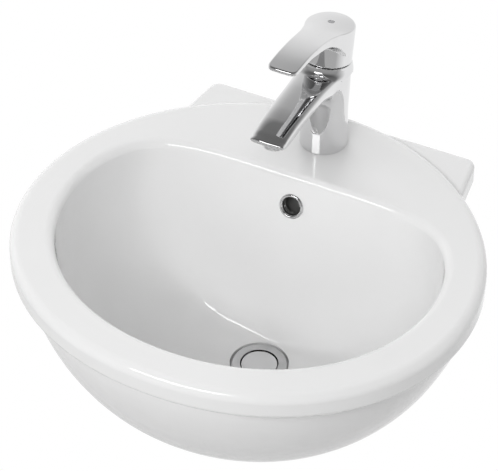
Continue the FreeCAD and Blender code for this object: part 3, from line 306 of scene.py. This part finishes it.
def projected(field, points, step):
    """Points moved onto the field's zero surface by one Newton step."""
    value = field(points)
    slope = slope_of(field, points)
    length = np.maximum((slope ** 2).sum(1), 0.05)
    move = slope * (value / length)[:, None]
    far = np.linalg.norm(move, axis=1)
    limit = np.minimum(1.0, 0.7 * step / np.maximum(far, 1e-9))
    return points - move * limit[:, None]


def formed(name, field, low, high, step, matrix):
    """A mesh object of a field given in millimetres, placed by a matrix in metres."""
    points, quads = surface_nets(field, low, high, step)
    mesh = bpy.data.meshes.new(name)
    mesh.from_pydata((points * MM).tolist(), [], quads.tolist())
    mesh.transform(matrix)
    mesh.update()
    mesh.shade_smooth()
    return placed(name, mesh)


# ---------------------------------------------------------------- tap body, in millimetres from the ledge
TAP = Vector((0, -51.1, 30)) * MM
HEAD = Vector((0, -46.7, 137.7)) * MM
TILT = math.radians(11)
HEAD_SEAT = (0, 4.4, 107.7)
FOOT_RADIUS = 26.35
SPOUT_REACH = 141.5
# Half width, top and underside of the spout: (distance forward of the column's axis, value).
SPOUT_WIDTH = [(-10, 24.0), (8, 24.6), (28, 22.6), (52, 21.2), (88, 20.6), (110, 20.0), (128, 19.4),
               (141, 18.9)]
SPOUT_TOP = [(-10, 102.5), (8, 103.4), (28, 104.6), (52, 105.6), (88, 106.0), (108, 105.4),
             (128, 102.8), (136, 100.6), (142, 98.8)]
SPOUT_UNDER = [(-10, 44.0), (8, 60.0), (28, 77.5), (52, 87.0), (88, 89.5), (108, 86.5), (122, 84.4),
               (130, 86.0), (136, 90.0), (142, 95.5)]
AERATOR_FORWARD = 121
AERATOR_MOUTH = 84.0
AERATOR_BOSS = 13.1
AERATOR_SINK = 0.3
SPIGOT_RADIUS = 16.5
SPIGOT_DEPTH = 7
INLET_SPREAD = 7.5
INLET_SETBACK = 3.5
PORT_HEIGHT = 31.5
# Radius and depth of each hole in the tap.
CARTRIDGE_BORE = (16.6, 19.0)
CARTRIDGE_COUNTERBORE = (18.3, 8.2)
PORT_BORE = (3.9, 5.0)
AERATOR_BORE = (11.3, 10.6)
INLET_BORE = (5.0, 12.0)
# The corners of the box that holds the form, and the mesh's step in it.
TAP_GRID = ((-29, -143, -9), (29, 30, 113), 1.1)


def column_field(p):
    """The column: round, slimmer with height and leaning back towards the head."""
    x, y, z = p.T
    lean = HEAD_SEAT[1] * (np.clip(z, 0, 115) / HEAD_SEAT[2]) ** 3.24
    radius = FOOT_RADIUS - 0.0342 * z + 0.000277 * z * z
    return np.hypot(x, y - lean) - radius


def spout_field(p):
    """The arched spout: a squarish round section with a flat, slightly bowed tip."""
    x, y, z = p.T
    forward = -y
    half = table(forward, SPOUT_WIDTH)
    top = table(forward, SPOUT_TOP)
    under = table(forward, SPOUT_UNDER)
    shoulder = np.minimum(5.5, 0.45 * (top - under))
    middle = top - shoulder
    rise = z - middle
    tall = np.where(rise > 0, shoulder, middle - under)
    across = (np.abs(x) / half) ** 3.2
    back = (np.maximum(-forward + 2, 0) / 16.0) ** 3.2
    norm = (across + (np.abs(rise) / tall) ** 2.6 + back) ** (1 / 3.0)
    section = (norm - 1) * np.minimum(half, tall)
    return round_max(section, forward - SPOUT_REACH + 0.003 * x * x, 1.5)


def tap_field(p):
    """Column, spout, the aerator's boss, the tilted seam under the head and the spigot in the ledge."""
    x, y, z = p.T
    body = smooth_min(column_field(p), spout_field(p), 9.0)
    boss_wall = np.hypot(x, y + AERATOR_FORWARD) - AERATOR_BOSS
    boss = np.maximum(boss_wall, np.maximum(AERATOR_MOUTH - z, z - 95))
    body = smooth_min(body, boss, 1.5)
    seam = (y - HEAD_SEAT[1]) * math.sin(TILT) + (z - HEAD_SEAT[2]) * math.cos(TILT)
    body = round_max(body, seam, 0.7)
    body = round_max(body, -z, 0.8)
    spigot = np.maximum(np.hypot(x, y) - SPIGOT_RADIUS, np.maximum(-SPIGOT_DEPTH - z, z - 10))
    return np.minimum(body, spigot)


# ---------------------------------------------------------------- lever, in millimetres in the head's frame
LEVER_REACH = 122
CAP_RADIUS = 26.3
CAP_BORE = 23.6
CAP_CEILING = 33
BOSS_RADIUS = 9
BOSS_FOOT = 20
INDICATOR_MOUTH = 42.7
SET_SCREW_HEIGHT = 26
# Radius and depth of each hole in the lever.
INDICATOR_RECESS = (3.8, 1.5)
SET_SCREW_BORE = (3.2, 14.0)
LEVER_GRID = ((-29, -125, -1), (29, 29, 48), 0.9)
# Half width, underside and crossways crown of the lever: (distance forward of the head's axis, value).
LEVER_WIDTH = [(-5, 23.0), (10, 23.2), (24, 20.9), (40, 18.1), (65, 17.1), (89, 16.7), (106, 16.7),
               (122, 16.2)]
LEVER_UNDER = [(10, 16.0), (24, 27.5), (40, 34.2), (58, 37.2), (83, 38.3), (99, 37.2), (114, 35.4),
               (124, 34.4)]
LEVER_CROWN = [(-30, 0.0034), (10, 0.0034), (40, 0.0012), (70, 0.0004), (124, 0.0008)]
# The top's height as a polynomial of the distance forward in decimetres.
LEVER_TOP = (18.5, -45.54, 21.85, 3.78, 1.38, 42.69)
DECIMETRE = 100


def lever_field(p):
    """The head's cap and the lever's tongue in one shell, hollow below, with a boss for the stem."""
    x, y, z = p.T
    forward = -y
    radius = np.hypot(x, y)
    skirt_foot = np.maximum(1.2, -0.45 + 0.404 * y)
    cap = round_max(radius - CAP_RADIUS, skirt_foot - z, 0.5)
    tip = forward - LEVER_REACH + 0.004 * x * x
    sides = round_max(np.abs(x) - table(forward, LEVER_WIDTH), tip, 6.0)
    sides = np.maximum(sides, -forward - 2)
    tongue = round_max(sides, table(forward, LEVER_UNDER) - z, 1.2)
    body = smooth_min(cap, tongue, 5.0)
    crown = table(forward, LEVER_CROWN) * x * x
    top = np.polyval(LEVER_TOP, forward / DECIMETRE)
    body = round_max(body, z - top + crown, 1.5)
    boss = np.maximum(radius - BOSS_RADIUS, BOSS_FOOT - z)
    hollow = np.maximum(np.maximum(radius - CAP_BORE, z - CAP_CEILING), -boss)
    return np.maximum(body, -hollow)


def true_normals(piece, field, matrix):
    """Shades a formed piece by its formula, apart from the walls of its cut holes."""
    mesh = piece.data
    spots = np.empty(len(mesh.vertices) * 3)
    mesh.vertices.foreach_get("co", spots)
    back = np.array(matrix.inverted())
    local = (spots.reshape(-1, 3) @ back[:3, :3].T + back[:3, 3]) / MM
    rise = slope_of(field, local, 0.35) @ np.array(matrix)[:3, :3].T
    rise /= np.maximum(np.linalg.norm(rise, axis=1), 1e-9)[:, None]
    corners = np.empty(len(mesh.loops), np.int32)
    mesh.loops.foreach_get("vertex_index", corners)
    usual = np.empty(len(mesh.loops) * 3)
    mesh.corner_normals.foreach_get("vector", usual)
    usual = usual.reshape(-1, 3)
    better = rise[corners]
    agree = (better * usual).sum(1) > 0.75
    mesh.normals_split_custom_set(np.where(agree[:, None], better, usual).tolist())


def carved(piece, cutters):
    """Cuts round holes in a piece; each cutter is ((radius, depth), mouth, direction in)."""
    for (radius, depth), mouth, inward in cutters:
        mesh = bpy.data.meshes.new("cutter")
        work = bmesh.new()
        bmesh.ops.create_cone(work, cap_ends=True, segments=HOLE_SIDES, radius1=radius, radius2=radius,
                              depth=depth + OVERCUT)
        work.to_mesh(mesh)
        work.free()
        centre = Vector(mouth) + Vector(inward).normalized() * (depth - OVERCUT) / 2
        mesh.transform(Matrix.Translation(centre) @ pointing(inward))
        tool = placed("cutter", mesh)
        cut = piece.modifiers.new("cut", "BOOLEAN")
        cut.object = tool
        cut.operation = "DIFFERENCE"
        cut.solver = "EXACT"
        bpy.context.view_layer.update()
        graph = bpy.context.evaluated_depsgraph_get()
        result = bpy.data.meshes.new_from_object(piece.evaluated_get(graph))
        piece.modifiers.clear()
        old = piece.data
        piece.data = result
        bpy.data.meshes.remove(old)
        bpy.data.objects.remove(tool)
        bpy.data.meshes.remove(mesh)


def smooth_form(name, field, grid, place, cuts, body, node):
    """A chrome form from its field, placed, with its holes cut; it stands for a node's solid."""
    low, high, step = grid
    piece = formed(name, field, low, high, step, place)
    turn = place.to_3x3()
    carved(piece, [((r * MM, d * MM), place @ (Vector(mouth) * MM), turn @ Vector(inward))
                   for (r, d), mouth, inward in cuts])
    finish_piece(piece, body, "chrome", node)
    true_normals(piece, field, place)


def tap_pieces():
    """The tap's casting and lever, each smooth and with its holes."""
    up = (0, 0, 1)
    down = (0, 0, -1)
    down_head = (0, -math.sin(TILT), -math.cos(TILT))
    cuts = [(CARTRIDGE_BORE, HEAD_SEAT, down_head), (CARTRIDGE_COUNTERBORE, HEAD_SEAT, down_head),
            (PORT_BORE, (0, -FOOT_RADIUS, PORT_HEIGHT), (0, 1, 0)),
            (AERATOR_BORE, (0, -AERATOR_FORWARD, AERATOR_MOUTH - AERATOR_SINK), up),
            (INLET_BORE, (-INLET_SPREAD, INLET_SETBACK, -SPIGOT_DEPTH), up),
            (INLET_BORE, (INLET_SPREAD, INLET_SETBACK, -SPIGOT_DEPTH), up)]
    place = Matrix.Translation(TAP)
    smooth_form("tap_casting", tap_field, TAP_GRID, place, cuts, "basin", "tap_body")
    cuts = [(INDICATOR_RECESS, (0, 0, INDICATOR_MOUTH), down),
            (SET_SCREW_BORE, (0, CAP_RADIUS, SET_SCREW_HEIGHT), (0, -1, 0))]
    place = Matrix.Translation(HEAD) @ Matrix.Rotation(-TILT, 4, "X")
    smooth_form("lever_shell", lever_field, LEVER_GRID, place, cuts, "lever", "tap_lever")


def turned(name, place, axis, profile, body, slot, node):
    """A turned piece: (radius, height) pairs in millimetres spun about an axis."""
    mesh = bpy.data.meshes.new(name)
    work = bmesh.new()
    angles = [i * math.tau / TURNED_SIDES for i in range(TURNED_SIDES)]
    rings = [[work.verts.new((r * math.cos(a), r * math.sin(a), h)) for a in angles] for r, h in profile]
    for first, second in zip(rings, rings[1:] + rings[:1]):
        for i in range(TURNED_SIDES):
            j = (i + 1) % TURNED_SIDES
            work.faces.new((first[i], first[j], second[j], second[i]))
    bmesh.ops.remove_doubles(work, verts=work.verts, dist=1e-5)
    bmesh.ops.dissolve_degenerate(work, edges=work.edges, dist=1e-6)
    bmesh.ops.recalc_face_normals(work, faces=work.faces)
    work.to_mesh(mesh)
    work.free()
    mesh.transform(Matrix.Translation(place) @ pointing(axis) @ Matrix.Scale(MM, 4))
    finish_piece(placed(name, mesh), body, slot, node)


def turned_pieces():
    """The overflow's rolled ring and the waste's softly crowned cap."""
    ring = [(9.8, -8), (9.8, -1.6), (10.0, -0.3), (10.5, 0.8), (11.2, 1.5), (12.0, 1.85), (12.8, 1.7),
            (13.5, 1.2), (13.9, 0.6), (14, 0.3), (11.2, 0.3), (11.2, -8)]
    turned("overflow_trim", OVERFLOW, OVERFLOW_OUT, ring, "basin", "chrome", "overflow_ring")
    cap = [(0.0, -2.8), (19.9, -2.8), (19.9, -1.9), (19.7, -1.4), (19.2, -1.05), (18.2, -0.8),
           (16.0, -0.62), (12.0, -0.5), (6.0, -0.42), (0.0, -0.4)]
    turned("plug_crown", WASTE, (0, 0, 1), cap, "plug", "chrome", "plug_cap")


def finish_piece(piece, body, slot, node):
    """Material, crisp edges, body and the node that the piece stands for."""
    piece.data.materials.clear()
    piece.data.materials.append(FINISH[slot])
    piece.data.shade_smooth()
    piece.data.set_sharp_from_angle(angle=CUT_EDGE)
    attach(piece, body)
    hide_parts(node)


tap_pieces()
turned_pieces()


# ---------------------------------------------------------------- stage, light and camera
AIM = Vector((0, -0.23, -0.02))
REACH = 3.6
# Azimuth and elevation of each lamp as seen from the basin, its width and height, and its power.
KEY = (-13, 39.5, 1.9, 0.75, 26.0)
SOFT = [(10, 47, 2, 2, 55.5), (-150, 35, 2, 2, 43.0), (-90, 27, 2, 2, 15.5), (140, 40, 2, 2, 10.5)]
FLOOR_HALF = 6.0
FLOOR_GAP = 0.5 * MM
WHITE = (1, 1, 1, 1)
# Azimuth, elevation and roll of the photograph's camera in degrees.
VIEW = (26.6427, 41.3993, -0.2169)
# Its focal length and picture width in pixels.
FOCAL_PIXELS = 2500
WIDTH_PIXELS = 498
SENSOR = 36
RIM_CENTRE = Vector((0, -231.5, 30))
# The camera's place from the rim's centre, to the right, up and back along its own axes.
CAMERA_OFFSET = (0.0688, 4.0073, 2571.66)


def towards(azimuth, elevation):
    """The direction of an azimuth and an elevation in radians; azimuth 0 is the front."""
    flat = math.cos(elevation)
    return Vector((math.sin(azimuth) * flat, -math.cos(azimuth) * flat, math.sin(elevation)))


def lamps():
    """Rectangular lamps round the basin; only the key lamp is mirrored in the metal."""
    for number, (azimuth, elevation, width, height, power) in enumerate([KEY] + SOFT):
        name = "lamp_%d" % number
        data = bpy.data.lights.new(name, "AREA")
        data.shape = "RECTANGLE"
        data.size = width
        data.size_y = height
        data.energy = power
        away = REACH * towards(math.radians(azimuth), math.radians(elevation))
        lamp = placed(name, data)
        lamp.location = AIM + away
        lamp.rotation_euler = (-away).to_track_quat("-Z", "Y").to_euler()
        lamp.visible_glossy = number == 0


def only_for(tree, ray, usual, special):
    """A shader output that shows the special one to one kind of ray and the usual one to the rest."""
    path = tree.nodes.new("ShaderNodeLightPath")
    mix = tree.nodes.new("ShaderNodeMixShader")
    tree.links.new(path.outputs[ray], mix.inputs["Fac"])
    tree.links.new(usual, mix.inputs[1])
    tree.links.new(special, mix.inputs[2])
    return mix.outputs["Shader"]


def ramped(tree, source, low, high, stops):
    """A grey level from a value, through (place, level) stops between low and high."""
    place = tree.nodes.new("ShaderNodeMapRange")
    place.inputs["From Min"].default_value = low
    place.inputs["From Max"].default_value = high
    tree.links.new(source, place.inputs["Value"])
    ramp = tree.nodes.new("ShaderNodeValToRGB")
    tree.links.new(place.outputs["Result"], ramp.inputs["Fac"])
    shares = [((at - low) / (high - low), level) for at, level in stops]
    ramp.color_ramp.elements[0].position = shares[0][0]
    ramp.color_ramp.elements[1].position = shares[-1][0]
    for share, level in shares[1:-1]:
        ramp.color_ramp.elements.new(share)
    for element, (share, level) in zip(ramp.color_ramp.elements, shares):
        element.color = (level, level, level, 1)
    return ramp.outputs["Color"]


def floor():
    """A grey floor that reads as white to the camera and pale to the metal; its colour greys to the right
    as painted shade, which dims the light bounced onto the basin's right side.
    """
    mesh = bpy.data.meshes.new("floor")
    level = CAD_BOX[0][2] - FLOOR_GAP
    corners = [(x * FLOOR_HALF, y * FLOOR_HALF, level) for x, y in ((-1, -1), (1, -1), (1, 1), (-1, 1))]
    mesh.from_pydata(corners, [], [(0, 1, 2, 3)])
    piece = placed("floor", mesh)
    material, tree, shader = new_material("floor")
    shader.inputs["Roughness"].default_value = 0.8
    mesh.materials.append(material)
    spot = tree.nodes.new("ShaderNodeSeparateXYZ")
    where = tree.nodes.new("ShaderNodeNewGeometry")
    tree.links.new(where.outputs["Position"], spot.inputs["Vector"])
    # Painted shade: the floor's colour greys to the right to darken the light bounced onto the basin's
    # right side.
    shade_grey_right = ramped(tree, spot.outputs["X"], -0.2, 0.6, [(-0.2, 0.66), (0.6, 0.44)])
    tree.links.new(shade_grey_right, shader.inputs["Base Color"])
    pale = tree.nodes.new("ShaderNodeEmission")
    paler_back = ramped(tree, spot.outputs["Y"], -0.6, 0.1, [(-0.6, 0.5), (0.1, 1.0)])
    tree.links.new(paler_back, pale.inputs["Color"])
    white = tree.nodes.new("ShaderNodeEmission")
    white.inputs["Color"].default_value = WHITE
    seen = only_for(tree, "Is Glossy Ray", shader.outputs["BSDF"], pale.outputs["Emission"])
    seen = only_for(tree, "Is Camera Ray", seen, white.outputs["Emission"])
    tree.links.new(seen, tree.nodes["Material Output"].inputs["Surface"])


def world():
    """A soft studio, pale behind and greyer overhead and in front; the camera sees it as white."""
    studio = bpy.data.worlds.new("studio")
    bpy.context.scene.world = studio
    studio.use_nodes = True
    tree = studio.node_tree
    soft = tree.nodes["Background"]
    place = tree.nodes.new("ShaderNodeTexCoord")
    split = tree.nodes.new("ShaderNodeSeparateXYZ")
    tree.links.new(place.outputs["Generated"], split.inputs["Vector"])
    height = split.outputs["Z"]
    around = ramped(tree, height, -1, 1, [(-1, 0.8), (0, 0.78), (1, 0.16)])
    tree.links.new(around, soft.inputs["Color"])
    behind = ramped(tree, height, -1, 1, [(-1, 1.0), (0.1, 1.0), (0.2, 0.95), (0.36, 0.82), (0.5, 0.66),
                                          (0.64, 0.42), (0.76, 0.20), (1, 0.15)])
    ahead = ramped(tree, height, -1, 1, [(-1, 0.45), (0.1, 0.36), (0.4, 0.32), (0.7, 0.16), (0.85, 0.09),
                                         (1, 0.14)])
    depth = ramped(tree, split.outputs["Y"], -1, 1, [(-1, 0.0), (-0.35, 0.0), (0.3, 1.0), (1, 1.0)])
    studio_view = tree.nodes.new("ShaderNodeMix")
    studio_view.data_type = "RGBA"
    tree.links.new(depth, studio_view.inputs["Factor"])
    tree.links.new(ahead, studio_view.inputs["A"])
    tree.links.new(behind, studio_view.inputs["B"])
    mirrored = tree.nodes.new("ShaderNodeBackground")
    tree.links.new(studio_view.outputs["Result"], mirrored.inputs["Color"])
    white = tree.nodes.new("ShaderNodeBackground")
    white.inputs["Color"].default_value = WHITE
    seen = only_for(tree, "Is Glossy Ray", soft.outputs["Background"], mirrored.outputs["Background"])
    seen = only_for(tree, "Is Camera Ray", seen, white.outputs["Background"])
    tree.links.new(seen, tree.nodes["World Output"].inputs["Surface"])


def camera():
    """The photograph's camera, from the fit of the rim, the wings, the overflow and the waste."""
    azimuth, elevation, roll = (math.radians(a) for a in VIEW)
    across = Vector((math.cos(azimuth), math.sin(azimuth), 0))
    back = towards(azimuth, elevation)
    up = back.cross(across)
    right = math.cos(roll) * across + math.sin(roll) * up
    top = -math.sin(roll) * across + math.cos(roll) * up
    axes = Matrix((right, top, back)).transposed()
    place = (RIM_CENTRE + axes @ Vector(CAMERA_OFFSET)) * MM
    data = bpy.data.cameras.new("camera")
    data.sensor_width = SENSOR
    data.lens = FOCAL_PIXELS * SENSOR / WIDTH_PIXELS
    data.clip_end = 50
    piece = placed("camera", data)
    piece.matrix_world = Matrix.Translation(place) @ axes.to_4x4()
    bpy.context.scene.camera = piece


lamps()
floor()
world()
camera()
bpy.context.scene.view_settings.view_transform = "Standard"
